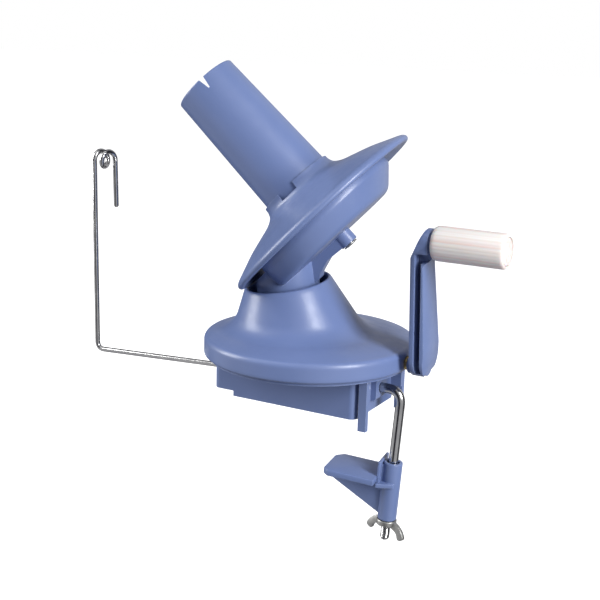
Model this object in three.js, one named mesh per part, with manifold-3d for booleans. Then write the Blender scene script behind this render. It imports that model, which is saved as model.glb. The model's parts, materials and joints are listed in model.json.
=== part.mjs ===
// Hand-cranked yarn ball winder with a screw clamp, a leaning spool and a wire yarn guide.
// Millimetres, +Z up. The origin is on the flat sole that rests on the table, under the round plate.
import * as THREE from "three";
import { mergeVertices } from "three/addons/utils/BufferGeometryUtils.js";
import initManifold from "manifold-3d";

const wasm = await initManifold();
wasm.setup();

// ---------------------------------------------------------------- driving dimensions

const FIT = 0.3; // gap left between two pieces that touch
const WALL = 2.4; // moulded wall thickness
const COARSE = 12;
const MEDIUM = 24;
const FINE = 44; // sides of small, middle-sized and large round pieces
const RIGHT_ANGLE = Math.PI / 2;
const TURN = Math.PI * 2;

const PLATE_Z = 25; // underside of the round cover
const PLATE_RADIUS = 58.5;
const RIM_HEIGHT = 10.5;

const BOX_LEFT = -47;
const BOX_RIGHT = 41;
const BOX_HALF_WIDTH = 25;
const SOLE_LEFT = -34; // the sole is stepped up to the left of this

const APEX = new THREE.Vector3(-8, 0, 28.5); // the crank axis meets the head axis here
const HEAD_LEAN = THREE.MathUtils.degToRad(10);
const HEAD_LEAN_SIDE = THREE.MathUtils.degToRad(38);
const HEAD_REST_TURN = THREE.MathUtils.degToRad(-29);
const RING_HEIGHT = 35.6; // along the head axis, from the apex
const RING_RADIUS = 24.1;
const NECK_SLOPE = Math.tan(THREE.MathUtils.degToRad(25));

const CROSSING_HEIGHT = 107.8; // where the spool axis crosses the head axis
const SPOOL_LEAN = THREE.MathUtils.degToRad(36.5);
const FLANGE_DEPTH = 44.2; // from that crossing down to the flange plane
const FLANGE_RADIUS = 60;
const COLLAR_TOP = 22.3;
const TUBE_TOP = 94.2;
const TUBE_BASE_RADIUS = 20;
const TUBE_TOP_RADIUS = 17.9;
const NOTCH_AROUND = THREE.MathUtils.degToRad(-157); // the yarn notch, about the spool axis
const COLLAR_GAP_AROUND = THREE.MathUtils.degToRad(-84);
const COLLAR_GAP_HALF = 5.3;

const POST_RADIUS = 2.5;
const POST_BOTTOM = 5;
const POST_TOP = 57;
const AXLE_RADIUS = 3;
const AXLE_BOTTOM = -22.3;
const AXLE_TOP = 30.5;

const CRANK_TEETH = 42;
const PINION_TEETH = 14;
const CRANK_GEAR_CONE = 22.9;
const CRANK_GEAR_FACE = 5.9;
const SUN_TEETH = 12;
const SPOOL_TEETH = 35;
const SPOOL_GEAR_CONE = 59;
const SPOOL_GEAR_FACE = 5;

const SCREW_RADIUS = 1.5;
const SHAFT_RADIUS = 2.5;
const BUSHING_RADIUS = 3.6;
const BUSHING_LIP = 4.2;
const SHAFT_END = 70.2;
const ARM_INNER = 64.3;
const ARM_OUTER = 72.4;
const ARM_BOTTOM = -5.2;
const ARM_TOP_RADIUS = 7.2;
const ARM_BOTTOM_RADIUS = 10.8;
const CRANK_RADIUS = 68.8;
const CRANK_REST_LEAN = THREE.MathUtils.degToRad(8);
const GRIP_START = 74.6;
const GRIP_END = 113;
const GRIP_RADIUS = 9.1;

const ROD_RADIUS = 2.65;
const ROD_AXIS_Z = 12.5;
const ROD_BEND_X = 56.5;
const ROD_BEND_RADIUS = 7;
const ROD_LEAN = THREE.MathUtils.degToRad(4);
const ROD_DROP = 87; // from the bend's corner down to the threaded end
const JAW_TOP = 41; // distances down the leaning leg from the bend's corner
const JAW_BOTTOM = 74.5;
const JAW_TURN = THREE.MathUtils.degToRad(8);

const WIRE_RADIUS = 1.5;
const GUIDE_Z = 7.5;
const GUIDE_X = -149;
const GUIDE_TOP = 120;
const GUIDE_COIL_RADIUS = 4.5;
const GUIDE_COIL_PITCH = 5.6;

// ---------------------------------------------------------------- materials

function plastic(color, roughness = 0.42) {
  return new THREE.MeshStandardMaterial({ color, roughness, metalness: 0 });
}

function metal(color, roughness) {
  return new THREE.MeshStandardMaterial({ color, roughness, metalness: 1 });
}

const BLUE = 0x6f84c0;
const WHITE_NYLON = 0xe9e6dc;
const IVORY = 0xf3ece8;
const STEEL = 0xb9bcc0;
const ZINC = 0x9b9c98;
const BRASS = 0xb99a55;

// ---------------------------------------------------------------- solids

function signedVolume(vertices, triangles) {
  const corners = [new THREE.Vector3(), new THREE.Vector3(), new THREE.Vector3()];
  let volume = 0;
  for (let i = 0; i < triangles.length; i += 3) {
    corners.forEach((corner, k) => corner.fromArray(vertices, triangles[i + k] * 3));
    volume += corners[0].dot(corners[1].clone().cross(corners[2])) / 6;
  }
  return volume;
}

// A three.js geometry as a closed, outward-facing manifold solid.
function solid(geometry) {
  geometry.deleteAttribute("normal");
  geometry.deleteAttribute("uv");
  const merged = mergeVertices(geometry, 1e-4);
  const index = Array.from(merged.index.array);
  const vertices = merged.attributes.position.array;
  const triangles = [];
  for (let i = 0; i < index.length; i += 3) {
    const [a, b, c] = index.slice(i, i + 3);
    if (a !== b && b !== c && a !== c) triangles.push(a, b, c);
  }
  if (signedVolume(vertices, triangles) < 0) triangles.reverse();
  return new wasm.Manifold(new wasm.Mesh({
    numProp: 3,
    vertProperties: new Float32Array(vertices),
    triVerts: new Uint32Array(triangles),
  }));
}

function place(shape, matrix) {
  return shape.transform(matrix.toArray());
}

function join(...shapes) {
  return shapes.reduce((whole, shape) => whole.add(shape));
}

function cut(shape, ...tools) {
  return tools.reduce((whole, tool) => whole.subtract(tool), shape);
}

function lathe(profile, segments = MEDIUM) {
  const points = profile.map(([radius, height]) => new THREE.Vector2(radius, height));
  return solid(new THREE.LatheGeometry(points, segments).rotateX(RIGHT_ANGLE));
}

function disc(radius, bottom, top, segments = COARSE) {
  const height = top - bottom;
  const geometry = new THREE.CylinderGeometry(radius, radius, height, segments).rotateX(RIGHT_ANGLE);
  return solid(geometry.translate(0, 0, bottom + height / 2));
}

function frustum(bottomRadius, topRadius, bottom, top, segments = FINE) {
  const height = top - bottom;
  const geometry = new THREE.CylinderGeometry(topRadius, bottomRadius, height, segments);
  return solid(geometry.rotateX(RIGHT_ANGLE).translate(0, 0, bottom + height / 2));
}

function ring(outer, inner, bottom, top, segments = COARSE) {
  return lathe([[inner, bottom], [outer, bottom], [outer, top], [inner, top], [inner, bottom]], segments);
}

function block(x0, x1, y0, y1, z0, z1) {
  const geometry = new THREE.BoxGeometry(x1 - x0, y1 - y0, z1 - z0);
  return solid(geometry.translate((x0 + x1) / 2, (y0 + y1) / 2, (z0 + z1) / 2));
}

function roundedRectangle(x0, x1, y0, y1, radius) {
  const shape = new THREE.Shape();
  shape.absarc(x1 - radius, y1 - radius, radius, 0, RIGHT_ANGLE);
  shape.absarc(x0 + radius, y1 - radius, radius, RIGHT_ANGLE, Math.PI);
  shape.absarc(x0 + radius, y0 + radius, radius, Math.PI, Math.PI + RIGHT_ANGLE);
  shape.absarc(x1 - radius, y0 + radius, radius, Math.PI + RIGHT_ANGLE, TURN);
  return shape;
}

function upright(shape, bottom, top, curveSegments = 6) {
  const options = { depth: top - bottom, bevelEnabled: false, curveSegments };
  return solid(new THREE.ExtrudeGeometry(shape, options).translate(0, 0, bottom));
}

// An outline drawn in the XZ plane, given its width along Y.
function sideways(shape, y0, y1, curveSegments = 6) {
  const geometry = new THREE.ExtrudeGeometry(shape, { depth: y1 - y0, bevelEnabled: false, curveSegments });
  return solid(geometry.rotateX(RIGHT_ANGLE).translate(0, y1, 0));
}

function outline(points) {
  return new THREE.Shape(points.map(([x, y]) => new THREE.Vector2(x, y)));
}

function alongX(shape) {
  return place(shape, new THREE.Matrix4().makeRotationY(RIGHT_ANGLE));
}

function shifted(shape, x, y, z) {
  return shape.translate([x, y, z]);
}

function piece(name, shape, material) {
  const built = shape.getMesh();
  const geometry = new THREE.BufferGeometry();
  geometry.setAttribute("position", new THREE.BufferAttribute(new Float32Array(built.vertProperties), 3));
  geometry.setIndex(Array.from(built.triVerts));
  geometry.computeVertexNormals();
  const mesh = new THREE.Mesh(geometry, material);
  mesh.name = name;
  return mesh;
}

// ---------------------------------------------------------------- frames

const model = new THREE.Group();

// The head axis: +Z of this frame, with its origin on the crank axis.
const headFrame = new THREE.Group();
headFrame.position.copy(APEX);
headFrame.rotation.set(0, -HEAD_LEAN, HEAD_LEAN_SIDE, "ZYX");

// The head as it stands at rest, turned about its own axis.
const turnedHead = new THREE.Group();
turnedHead.rotation.z = HEAD_REST_TURN;
headFrame.add(turnedHead);

// The spool axis: +Z of this frame, with its origin at the middle of the flange plane.
const spoolFrame = new THREE.Group();
const SPOOL_IN_HEAD = new THREE.Matrix4()
  .makeTranslation(0, 0, CROSSING_HEIGHT)
  .multiply(new THREE.Matrix4().makeRotationY(-SPOOL_LEAN))
  .multiply(new THREE.Matrix4().makeTranslation(0, 0, -FLANGE_DEPTH));
SPOOL_IN_HEAD.decompose(spoolFrame.position, spoolFrame.quaternion, spoolFrame.scale);
turnedHead.add(spoolFrame);

// The crank turned to its rest lean about the shaft.
const crankFrame = new THREE.Group();
crankFrame.position.set(0, APEX.y, APEX.z);
crankFrame.rotation.x = CRANK_REST_LEAN;

// The clamp's leaning leg: +Z runs up the leg, with its origin at the corner of the bend.
const clampFrame = new THREE.Group();
clampFrame.position.set(ROD_BEND_X, 0, ROD_AXIS_Z);
clampFrame.rotation.y = ROD_LEAN;

model.add(headFrame, crankFrame, clampFrame);
model.updateMatrixWorld(true);

const HEAD_MATRIX = headFrame.matrixWorld.clone();

// ---------------------------------------------------------------- bevel gears

// Pitch angles of two bevel gears whose axes leave their common apex this far apart.
function pitchAngle(teeth, otherTeeth, betweenAxes) {
  return Math.atan2(Math.sin(betweenAxes), otherTeeth / teeth + Math.cos(betweenAxes));
}

// A toothed band between two spheres round the apex. The apex is the origin and the axis is +Z.
function toothedBand({ teeth, pitch, cone, face, inner, phase }) {
  const module = 2 * cone * Math.sin(pitch) / teeth;
  const tip = pitch + 0.75 * module / cone;
  const root = pitch - 1.15 * module / cone;
  const step = TURN / teeth;
  const shape = new THREE.Shape();
  for (let tooth = 0; tooth < teeth; tooth += 1) {
    const middle = phase + tooth * step;
    const corners = [[root, -0.27], [tip, -0.11], [tip, 0.11], [root, 0.27]];
    corners.forEach(([angle, offset], k) => {
      const around = middle + offset * step;
      const x = angle * Math.cos(around);
      const y = angle * Math.sin(around);
      if (tooth + k === 0) shape.moveTo(x, y);
      else shape.lineTo(x, y);
    });
  }
  shape.closePath();
  const hole = new THREE.Path();
  hole.absarc(0, 0, inner, 0, TURN, true);
  shape.holes.push(hole);
  const band = new THREE.ExtrudeGeometry(shape, { depth: face, bevelEnabled: false, curveSegments: COARSE });
  const position = band.attributes.position;
  for (let i = 0; i < position.count; i += 1) {
    const angle = Math.hypot(position.getX(i), position.getY(i));
    const around = Math.atan2(position.getY(i), position.getX(i));
    const distance = cone - position.getZ(i);
    const radius = distance * Math.sin(angle);
    position.setXYZ(i, radius * Math.cos(around), radius * Math.sin(around), distance * Math.cos(angle));
  }
  return solid(band);
}

// The angle, about a frame's own Z axis, that points toward a direction given in the model.
function directionAngle(frameQuaternion, direction) {
  const local = direction.clone().applyQuaternion(frameQuaternion.clone().invert());
  return Math.atan2(local.y, local.x);
}

const HEAD_AXIS = new THREE.Vector3(0, 0, 1).applyQuaternion(headFrame.quaternion);
const CRANK_AXIS = new THREE.Vector3(1, 0, 0);
const CRANK_GEAR_QUATERNION = new THREE.Quaternion()
  .setFromAxisAngle(new THREE.Vector3(0, 1, 0), RIGHT_ANGLE);
const SHAFT_ANGLE = CRANK_AXIS.angleTo(HEAD_AXIS);
const CRANK_PITCH = pitchAngle(CRANK_TEETH, PINION_TEETH, SHAFT_ANGLE);
const PINION_PITCH = SHAFT_ANGLE - CRANK_PITCH;
const SUN_PITCH = pitchAngle(SUN_TEETH, SPOOL_TEETH, SPOOL_LEAN);
const SPOOL_PITCH = SPOOL_LEAN - SUN_PITCH;

function crankGear() {
  const band = toothedBand({
    teeth: CRANK_TEETH,
    pitch: CRANK_PITCH,
    cone: CRANK_GEAR_CONE,
    face: CRANK_GEAR_FACE,
    inner: CRANK_PITCH - 0.3,
    phase: directionAngle(CRANK_GEAR_QUATERNION, HEAD_AXIS),
  });
  const web = lathe([
    [SHAFT_RADIUS + FIT, 7.4], [18.6, 7.4], [18.6, 10.4], [8, 10.4],
    [8, 19], [SHAFT_RADIUS + FIT, 19], [SHAFT_RADIUS + FIT, 7.4],
  ]);
  const gear = alongX(join(band, web));
  return piece("crank_gear", shifted(gear, APEX.x, APEX.y, APEX.z), plastic(WHITE_NYLON, 0.5));
}

const PINION_TOP = 40;

function headPinion() {
  const band = toothedBand({
    teeth: PINION_TEETH,
    pitch: PINION_PITCH,
    cone: CRANK_GEAR_CONE,
    face: CRANK_GEAR_FACE,
    inner: 0.1,
    phase: directionAngle(headFrame.quaternion, CRANK_AXIS) + Math.PI / PINION_TEETH,
  });
  const core = disc(4.4, 16.2, 21, MEDIUM);
  const neck = disc(5, 20.6, PINION_TOP, MEDIUM);
  const bore = disc(POST_RADIUS + FIT, 0, 60);
  return piece("head_pinion", cut(join(band, core, neck), bore), plastic(WHITE_NYLON, 0.5));
}

// The sun gear and the spool gear hang below their apex, so both are made upside down.
function hangingGear({ name, teeth, pitch, phase, hub }) {
  const band = toothedBand({
    teeth,
    pitch,
    cone: SPOOL_GEAR_CONE,
    face: SPOOL_GEAR_FACE,
    inner: hub.inner,
    phase,
  });
  const down = new THREE.Matrix4().makeRotationX(Math.PI);
  const whole = cut(join(place(band, down), hub.web), hub.bore);
  return piece(name, whole, plastic(WHITE_NYLON, 0.5));
}

function sunGear() {
  const gear = hangingGear({
    name: "sun_gear",
    teeth: SUN_TEETH,
    pitch: SUN_PITCH,
    phase: -HEAD_REST_TURN,
    hub: {
      inner: 0.06,
      web: disc(4.6, -59.2, -53.2, MEDIUM),
      bore: disc(POST_RADIUS + FIT, -80, -20),
    },
  });
  gear.position.z = CROSSING_HEIGHT;
  return gear;
}

function spoolGear() {
  const depth = FLANGE_DEPTH;
  const gear = hangingGear({
    name: "spool_gear",
    teeth: SPOOL_TEETH,
    pitch: SPOOL_PITCH,
    phase: Math.PI + Math.PI / SPOOL_TEETH,
    hub: {
      inner: SPOOL_PITCH - 0.09,
      web: ring(22.6, 5.6, -depth - 9.2, -depth - 6.2, MEDIUM),
      bore: disc(6 + FIT, -depth - 20, -depth + 20, MEDIUM),
    },
  });
  gear.position.z = depth;
  return gear;
}

// ---------------------------------------------------------------- cover and case

// The outer skin of the cover, or the same skin moved inward by the wall thickness.
function coverSkin(inward, floor) {
  const rim = PLATE_RADIUS - inward;
  const top = PLATE_Z + RIM_HEIGHT - inward;
  const dome = lathe([
    [0, floor], [rim, floor], [rim, top - 3], [rim - 0.9, top - 0.9], [rim - 3, top],
    [rim - 16, top + 2.6], [0, top + 3.4],
  ], FINE);
  const neckTop = RING_HEIGHT + (inward > 0 ? 5 : 0);
  const atTop = RING_RADIUS - inward * 1.1 + (RING_HEIGHT - neckTop) * NECK_SLOPE;
  const neckBottom = 3;
  const atBottom = atTop + (neckTop - neckBottom) * NECK_SLOPE;
  const cone = place(frustum(atBottom, atTop, neckBottom, neckTop), HEAD_MATRIX);
  const flare = place(frustum(atBottom + 9, atTop + 8.2, neckBottom, 19 - inward), HEAD_MATRIX);
  const limit = disc(rim - 2, floor, 90, FINE);
  return join(dome, join(cone, flare).intersect(limit));
}

const COVER_SCREWS = [[-40, 30], [-40, -30], [32, 38], [32, -38]];
const DECK_TOP = PLATE_Z + 1.8;
const DECK_BOTTOM = PLATE_Z - 2.2;
const SCREW_SEAT = DECK_BOTTOM + 2.1; // the case screws' heads are sunk into the deck up to here
const SCREW_HEAD_RADIUS = 3;

function topCover() {
  const shell = coverSkin(0, PLATE_Z).subtract(coverSkin(WALL, PLATE_Z - 1));
  const bosses = COVER_SCREWS.map(([x, y]) => shifted(disc(3.6, DECK_TOP + FIT, 34.6), x, y, 0));
  const cores = COVER_SCREWS.map(([x, y]) => shifted(disc(SCREW_RADIUS + FIT, 20, 32.6), x, y, 0));
  const shaftHole = shifted(alongX(disc(BUSHING_RADIUS + FIT, 40, 70, MEDIUM)), 0, APEX.y, APEX.z);
  const below = disc(80, 0, PLATE_Z, FINE);
  return piece("top_cover", cut(join(shell, ...bosses), ...cores, shaftHole, below), plastic(BLUE));
}

const UNDER_DECK = DECK_BOTTOM + 0.5; // what hangs from the deck reaches this far into it
const SOCKET_RIGHT = 44.4;
const LEG_LEFT = 42.7;
const LEG_RIGHT = 47.3;
const LEG_DROP = 5.5; // the legs hang this far below the sole, against the table's edge
const BEARING_X = 30; // left face of the pillar that carries the inner bushing
const BEARING_WIDTH = 7;

function lowerCase() {
  const deck = disc(PLATE_RADIUS - WALL - FIT, DECK_BOTTOM, DECK_TOP, FINE);
  const walls = roundedRectangle(BOX_LEFT, BOX_RIGHT, -BOX_HALF_WIDTH, BOX_HALF_WIDTH, 4);
  const box = upright(walls, 0, UNDER_DECK);
  const step = block(BOX_LEFT - 1, SOLE_LEFT, -40, 40, -1, 3);
  const inside = roundedRectangle(
    BOX_LEFT + WALL, BOX_RIGHT - WALL, WALL - BOX_HALF_WIDTH, BOX_HALF_WIDTH - WALL, 2.4);
  const hollow = upright(inside, WALL, 40).subtract(block(BOX_LEFT, SOLE_LEFT, -40, 40, -1, 3 + WALL));
  const legs = [-1, 1].map((side) => (
    block(LEG_LEFT, LEG_RIGHT, side * 23 - 1.5, side * 23 + 1.5, -LEG_DROP, UNDER_DECK)
  ));
  const ribs = [-1, 1].map((side) => (
    block(BOX_RIGHT - 0.5, LEG_RIGHT, side * 20.8 - 1, side * 20.8 + 1, 8, UNDER_DECK)
  ));
  const gussetOutline = outline([
    [BOX_RIGHT - 0.5, UNDER_DECK], [BOX_RIGHT - 0.5, 6], [43, 6],
    [SOCKET_RIGHT, 7.4], [SOCKET_RIGHT, UNDER_DECK],
  ]);
  const socket = sideways(gussetOutline, -6.5, 6.5);
  const rodBore = shifted(alongX(disc(ROD_RADIUS + FIT, 30, 60, MEDIUM)), 0, 0, ROD_AXIS_Z);
  const guideBore = shifted(alongX(disc(WIRE_RADIUS + FIT, BOX_LEFT - 3, BOX_LEFT + 12)), 0, 0, GUIDE_Z);
  const clipRoom = shifted(alongX(disc(3.6 + FIT, BOX_LEFT + 8, BOX_LEFT + 12)), 0, 0, GUIDE_Z);
  const guideBoss = shifted(alongX(disc(4, BOX_LEFT + 1, BOX_LEFT + 8)), 0, 0, GUIDE_Z);
  const pillar = block(BEARING_X, BEARING_X + BEARING_WIDTH, -9, 9, 17.5, APEX.z + 6.8);
  const strut = block(BEARING_X, BOX_RIGHT - 1, -9, 9, 17.5, 20);
  const shaftRoom = shifted(alongX(disc(BUSHING_RADIUS + FIT, 10, 70, MEDIUM)), 0, APEX.y, APEX.z);
  const lipRoom = shifted(alongX(disc(BUSHING_LIP + FIT, 48, 54.1, MEDIUM)), 0, APEX.y, APEX.z);
  const screwHole = join(disc(SCREW_RADIUS + FIT, 0, 40), disc(SCREW_HEAD_RADIUS + FIT, 20, SCREW_SEAT));
  const screwHoles = COVER_SCREWS.map(([x, y]) => shifted(screwHole, x, y, 0));
  const gearRoom = block(-14, 14, -24.5, 24.5, WALL, 60);
  const shell = cut(join(deck, box, guideBoss), step, hollow.subtract(guideBoss), gearRoom);
  const whole = join(shell, ...legs, ...ribs, socket, pillar, strut);
  const bored = cut(whole, rodBore, guideBore, clipRoom, shaftRoom, lipRoom, ...screwHoles);
  return piece("lower_case", bored, plastic(BLUE));
}

function panScrew(name, headRadius, length) {
  const shape = lathe([
    [0, -1.8], [headRadius * 0.7, -1.8], [headRadius, -0.9], [headRadius, 0],
    [SCREW_RADIUS, 0], [SCREW_RADIUS, length - 1], [0.6, length], [0, length],
  ], COARSE);
  return piece(name, shape, metal(ZINC, 0.4));
}

function addCaseScrews() {
  COVER_SCREWS.forEach(([x, y], index) => {
    const screw = panScrew(`case_screw_${index + 1}`, SCREW_HEAD_RADIUS, 7.3);
    screw.position.set(x, y, SCREW_SEAT - FIT);
    model.add(screw);
  });
}

function bushing(name, x, length) {
  const inner = SHAFT_RADIUS + FIT / 2;
  const body = ring(BUSHING_RADIUS, inner, 0, length, MEDIUM);
  const lip = ring(BUSHING_LIP, inner, 0, 1.2, MEDIUM);
  const mesh = piece(name, alongX(join(body, lip)), metal(BRASS, 0.35));
  mesh.position.set(x, APEX.y, APEX.z);
  return mesh;
}

// ---------------------------------------------------------------- post and drive

const BRACKET_X = -22;
const BRACKET_SCREWS_Y = [-10, 10];
const BRACKET_FOOT_TOP = 5.4;

function postBracket() {
  const foot = block(BRACKET_X - 9, BRACKET_X + 9, -13.5, 13.5, WALL + FIT, BRACKET_FOOT_TOP);
  const wall = block(BRACKET_X - 4, BRACKET_X + 4, -6.5, 6.5, WALL + FIT, 40);
  const arm = block(-19, -6.4, -6.5, 6.5, 33.6, 40);
  const socket = place(disc(POST_RADIUS + FIT, 0, 30), HEAD_MATRIX);
  const top = place(disc(30, 12.4, 60), HEAD_MATRIX);
  const floor = block(-40, SOLE_LEFT + FIT, -40, 40, -1, 12);
  const holes = BRACKET_SCREWS_Y.map((y) => shifted(disc(SCREW_RADIUS + FIT, 0, 12), BRACKET_X, y, 0));
  return piece("post_bracket", cut(join(foot, wall, arm), socket, top, floor, ...holes), metal(ZINC, 0.45));
}

function addBracketScrews() {
  BRACKET_SCREWS_Y.forEach((y, index) => {
    const shape = lathe([
      [0, -1.6], [SCREW_RADIUS, -1.6], [SCREW_RADIUS, 0], [2.6, 0], [2.6, 0.9], [1.9, 1.6], [0, 1.6],
    ], COARSE);
    const screw = piece(`bracket_screw_${index + 1}`, shape, metal(ZINC, 0.4));
    screw.position.set(BRACKET_X, y, BRACKET_FOOT_TOP + FIT);
    model.add(screw);
  });
}

function centrePost() {
  return piece("centre_post", disc(POST_RADIUS, POST_BOTTOM, POST_TOP, MEDIUM), metal(STEEL, 0.3));
}

function thrustWasher() {
  return piece("thrust_washer", ring(4.6, POST_RADIUS + FIT, 12.7, 13.6, MEDIUM), metal(STEEL, 0.35));
}

function sunGearClip() {
  return piece("sun_gear_clip", ring(4.4, POST_RADIUS + 0.1, 54.9, 55.7, MEDIUM), metal(ZINC, 0.4));
}

function crankShaft() {
  const shape = lathe([
    [0, 5.6], [SHAFT_RADIUS - 0.6, 5.6], [SHAFT_RADIUS, 6.2], [SHAFT_RADIUS, SHAFT_END - APEX.x - 0.6],
    [SHAFT_RADIUS - 0.6, SHAFT_END - APEX.x], [0, SHAFT_END - APEX.x],
  ], MEDIUM);
  return piece("crank_shaft", shifted(alongX(shape), APEX.x, APEX.y, APEX.z), metal(STEEL, 0.3));
}

function shaftClip(name, x) {
  const shape = ring(BUSHING_RADIUS, SHAFT_RADIUS + 0.1, 0, 0.9, MEDIUM);
  const mesh = piece(name, alongX(shape), metal(ZINC, 0.4));
  mesh.position.set(x, APEX.y, APEX.z);
  return mesh;
}

// ---------------------------------------------------------------- crank

const AXLE_HEAD_END = 69.6; // the grip axle's head is let into the arm up to here

const HUB_LEFT = 60.4; // the arm's hub stands out toward the bushing

function crankArm() {
  const top = CRANK_RADIUS + ARM_TOP_RADIUS;
  const bottom = ARM_BOTTOM;
  const side = new THREE.Shape();
  side.moveTo(ARM_INNER, bottom + 6);
  side.lineTo(ARM_INNER, top - 14);
  side.lineTo(ARM_OUTER - 1.6, top);
  side.lineTo(ARM_OUTER + 0.8, top);
  side.lineTo(ARM_OUTER + 0.8, top - 16);
  side.lineTo(ARM_OUTER - 1.2, top - 18);
  side.lineTo(ARM_OUTER, bottom + 16);
  side.lineTo(ARM_OUTER - 1, bottom + 2);
  side.absarc(ARM_OUTER - 4, bottom + 3, 3, 0, -RIGHT_ANGLE, true);
  side.lineTo(ARM_INNER + 1, bottom + 2);
  side.closePath();
  const blank = sideways(side, -16, 16);
  const planform = new THREE.Shape();
  planform.absarc(0, CRANK_RADIUS, ARM_TOP_RADIUS, 0, Math.PI);
  planform.absarc(0, ARM_BOTTOM + ARM_BOTTOM_RADIUS, ARM_BOTTOM_RADIUS, Math.PI, TURN);
  planform.closePath();
  const turn = new THREE.Matrix4().makeBasis(
    new THREE.Vector3(0, 1, 0), new THREE.Vector3(0, 0, 1), new THREE.Vector3(1, 0, 0));
  const envelope = place(upright(planform, 50, 90, COARSE), turn);
  const slotWidth = [ARM_INNER + 2.4, ARM_OUTER - 2.2];
  const slots = [[-20, -1.2], [1.2, 20]].map(([y0, y1]) => join(
    block(slotWidth[0], slotWidth[1], y0, y1, ARM_BOTTOM + 3.7, CRANK_RADIUS - 4.5),
    block(slotWidth[0], ARM_OUTER + 5, y0, y1, CRANK_RADIUS - 9.5, CRANK_RADIUS - 4.5),
  ));
  const boss = alongX(disc(5, HUB_LEFT, ARM_OUTER - 1, MEDIUM));
  const shaftBore = alongX(disc(SHAFT_RADIUS + FIT, 40, SHAFT_END + FIT, MEDIUM));
  const axleBore = shifted(alongX(disc(2.5 + FIT, 50, 90)), 0, 0, CRANK_RADIUS);
  const headRoom = shifted(alongX(disc(4 + FIT, 50, AXLE_HEAD_END + FIT)), 0, 0, CRANK_RADIUS);
  const axleBoss = shifted(alongX(disc(5.5, ARM_OUTER - 2.5, ARM_OUTER + 1.8, MEDIUM)), 0, 0, CRANK_RADIUS);
  const body = join(cut(blank.intersect(envelope), ...slots), boss, axleBoss);
  return piece("crank_arm", cut(body, shaftBore, axleBore, headRoom), plastic(BLUE));
}

const GRIP_BORE = 3;
const CAP_RADIUS = 7;

function gripAxle() {
  const shape = lathe([
    [0, AXLE_HEAD_END - 1.3], [4, AXLE_HEAD_END - 1.3], [4, AXLE_HEAD_END], [2.5, AXLE_HEAD_END],
    [2.5, GRIP_END - 6.5], [2, GRIP_END - 6], [0, GRIP_END - 6],
  ], COARSE);
  return piece("grip_axle", shifted(alongX(shape), 0, 0, CRANK_RADIUS), metal(STEEL, 0.3));
}

function gripClip() {
  const shape = ring(5, 2.6, GRIP_END - 8.4, GRIP_END - 7.6, COARSE);
  return piece("grip_clip", shifted(alongX(shape), 0, 0, CRANK_RADIUS), metal(ZINC, 0.4));
}

function grip() {
  const start = GRIP_START;
  const shape = lathe([
    [GRIP_BORE, start], [GRIP_RADIUS - 0.8, start], [GRIP_RADIUS, start + 0.8], [GRIP_RADIUS, GRIP_END - 0.5],
    [GRIP_RADIUS - 0.5, GRIP_END], [CAP_RADIUS + FIT, GRIP_END], [CAP_RADIUS + FIT, GRIP_END - 9],
    [GRIP_BORE, GRIP_END - 9], [GRIP_BORE, start],
  ], MEDIUM);
  return piece("grip", shifted(alongX(shape), 0, 0, CRANK_RADIUS), plastic(IVORY, 0.35));
}

function gripEndCap() {
  const shape = lathe([
    [0, GRIP_END], [CAP_RADIUS - 0.4, GRIP_END], [CAP_RADIUS, GRIP_END - 0.4], [CAP_RADIUS, GRIP_END - 4],
    [5.6, GRIP_END - 4], [5.6, GRIP_END - 1.8], [0, GRIP_END - 1.8],
  ].reverse(), MEDIUM);
  return piece("grip_end_cap", shifted(alongX(shape), 0, 0, CRANK_RADIUS), plastic(IVORY, 0.35));
}

// ---------------------------------------------------------------- head

const BOWL_RADIUS = 44;
const BOWL_FLOOR = -14.5;
const BOWL_SHOULDER = -3;
const BOWL_LIP = 2;
const BOWL_FLOOR_RADIUS = 39;
const TURRET_RADIUS = 17.5;
const TURRET_BOTTOM = RING_HEIGHT - 8;
const TURRET_ROOF = -2.2; // in the spool frame, just under the flange's edge
const HUB_TOP = 48.2;

// The bowl's outer skin, or the same skin moved inward, in the spool frame.
function bowlSkin(inward) {
  const upper = disc(BOWL_RADIUS - inward, BOWL_SHOULDER, BOWL_LIP + inward, FINE);
  const floor = BOWL_FLOOR + inward;
  const height = BOWL_SHOULDER - floor;
  const offset = BOWL_FLOOR_RADIUS - BOWL_RADIUS;
  const lean = new THREE.Matrix4().makeShear(0, 0, 0, 0, -offset / height, 0);
  const lower = frustum(BOWL_FLOOR_RADIUS - inward, BOWL_RADIUS - inward, -height, 0.001);
  const sheared = place(lower, lean);
  return join(upper, shifted(sheared, 0, 0, BOWL_SHOULDER));
}

function headCarrier() {
  const inHead = (shape) => place(shape, SPOOL_IN_HEAD);
  const roof = inHead(disc(200, TURRET_ROOF, 200));
  const turret = cut(disc(TURRET_RADIUS, TURRET_BOTTOM, 80, FINE), roof);
  const webOutline = outline([
    [-45, -24], [-25.5, -24.2], [-23.5, -22.5], [-14.7, -19.8],
    [-3.6, -20.4], [1, -20.4], [1, -12], [-45, -12],
  ]);
  const web = sideways(webOutline, -4, 4);
  const boss = disc(5, -21, -9, MEDIUM);
  const bore = disc(AXLE_RADIUS + FIT, -40, 0, MEDIUM);
  const outside = join(turret, inHead(bowlSkin(0)), inHead(join(web, boss)));
  const pocket = ring(15.2, 8, TURRET_BOTTOM - 1, TURRET_BOTTOM + 9, MEDIUM);
  const hub = disc(8, TURRET_BOTTOM, HUB_TOP, MEDIUM);
  const innerBoss = disc(5, -14, -11.2, MEDIUM);
  const pinionBore = disc(5 + FIT, 0, PINION_TOP + FIT, MEDIUM);
  const postBore = disc(POST_RADIUS + FIT, 0, 90);
  const room = inHead(bowlSkin(WALL)).subtract(hub).subtract(inHead(innerBoss));
  const aboveHub = disc(10.6, HUB_TOP, 90, MEDIUM);
  const whole = cut(outside, room, pocket, pinionBore, postBore, inHead(bore), aboveHub);
  return piece("head_carrier", whole, plastic(BLUE));
}

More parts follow.
